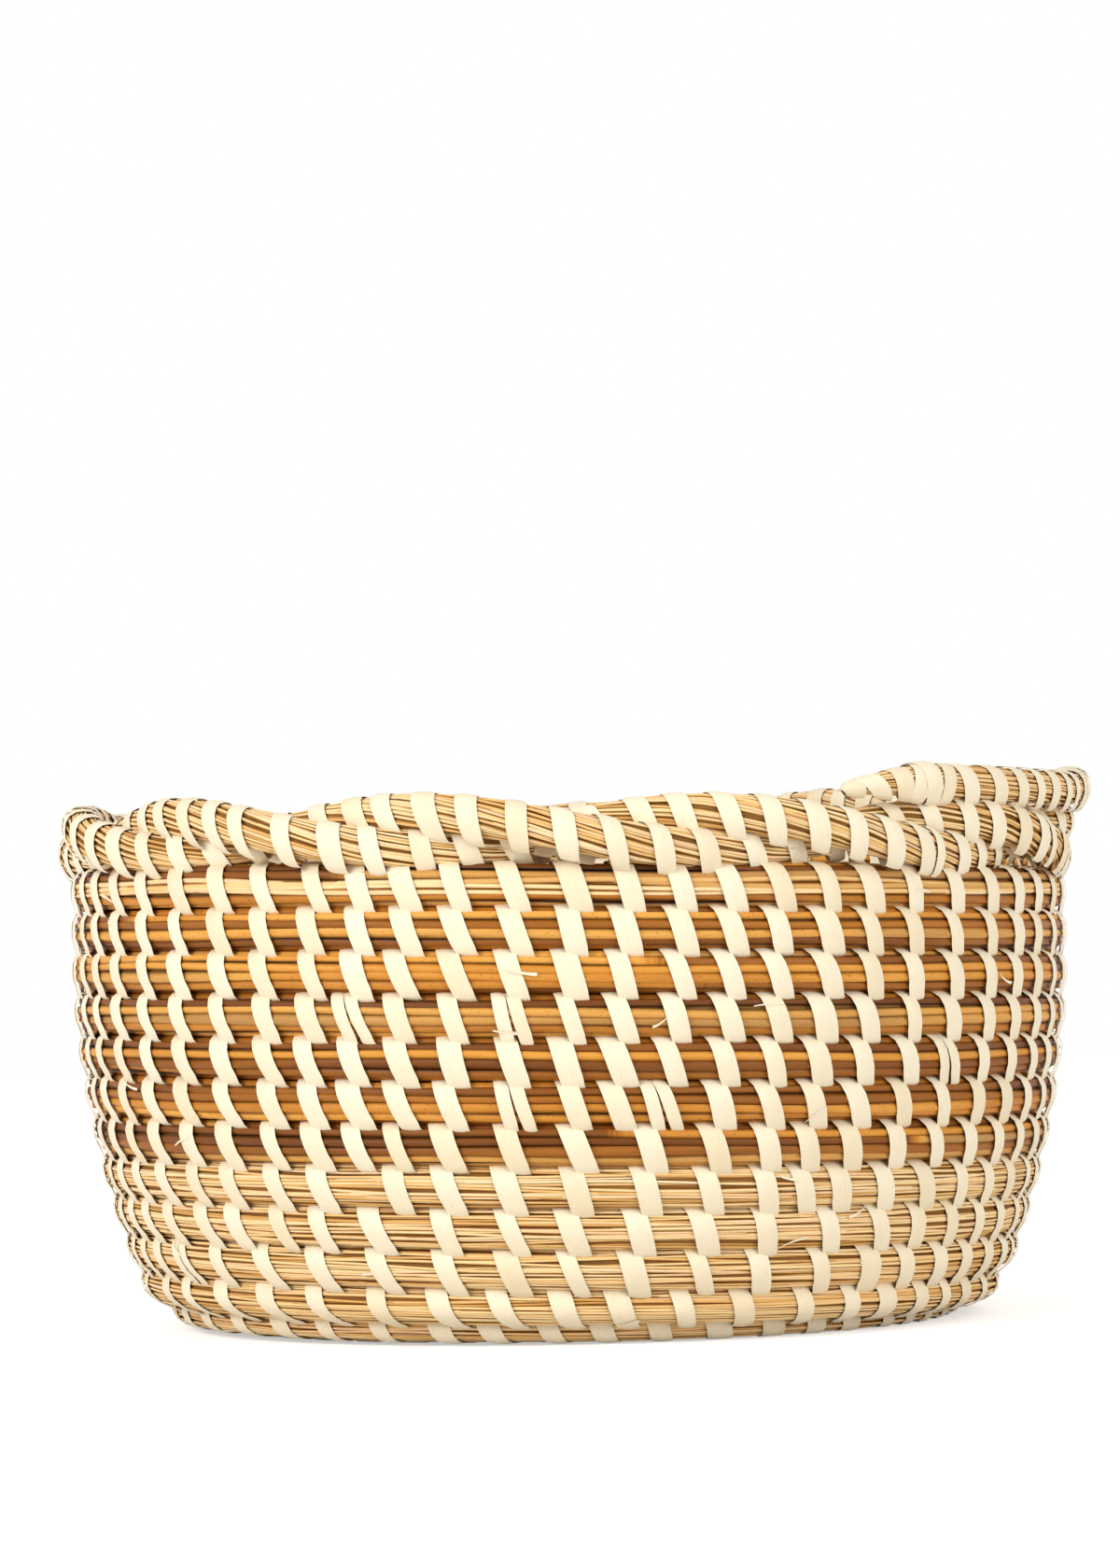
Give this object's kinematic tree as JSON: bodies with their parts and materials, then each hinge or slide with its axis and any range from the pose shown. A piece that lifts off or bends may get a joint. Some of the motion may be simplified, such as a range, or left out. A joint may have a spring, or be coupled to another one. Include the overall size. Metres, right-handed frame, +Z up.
{
  "type": "coiled basket",
  "caption": "Round open basket coiled from grass and rush bundles, lashed with palm leaf strips, with a waved rim.",
  "frame": {"origin": "on the table, under the middle of the ring that the basket stands on", "axes": "+Z up towards the open rim; -Y towards the front that the picture shows; +X to the picture's right, where the coil ends"},
  "size_m": [0.3026, 0.3026, 0.1608],
  "materials": {
    "grass_bundle": "dry grass, straw coloured, satin",
    "rush_bundle": "dry rush stems, brown to amber, satin",
    "palm_strip": "pale dried palm leaf, satin"
  },
  "bodies": {
    "root": {"base_coil": "grass_bundle", "base_stitches": "palm_strip", "base_tip": "grass_bundle", "rim_end_wraps": "palm_strip", "rim_first_pass_coil": "grass_bundle", "rim_first_pass_stitches": "palm_strip", "rim_last_stretch_coil": "grass_bundle", "rim_last_stretch_stitches": "palm_strip", "rim_second_pass_coil": "grass_bundle", "rim_second_pass_stitches": "palm_strip", "wall_coil_01": "grass_bundle", "wall_coil_02": "grass_bundle", "wall_coil_03": "grass_bundle", "wall_coil_04": "grass_bundle", "wall_coil_05": "grass_bundle", "wall_coil_06": "rush_bundle", "wall_coil_07": "rush_bundle", "wall_coil_08": "rush_bundle", "wall_coil_09": "rush_bundle", "wall_coil_10": "rush_bundle", "wall_coil_11": "rush_bundle", "wall_coil_12": "rush_bundle", "wall_stitches_01": "palm_strip", "wall_stitches_02": "palm_strip", "wall_stitches_03": "palm_strip", "wall_stitches_04": "palm_strip", "wall_stitches_05": "palm_strip", "wall_stitches_06": "palm_strip", "wall_stitches_07": "palm_strip", "wall_stitches_08": "palm_strip", "wall_stitches_09": "palm_strip", "wall_stitches_10": "palm_strip", "wall_stitches_11": "palm_strip", "wall_stitches_12": "palm_strip"}
  },
  "joints": []
}
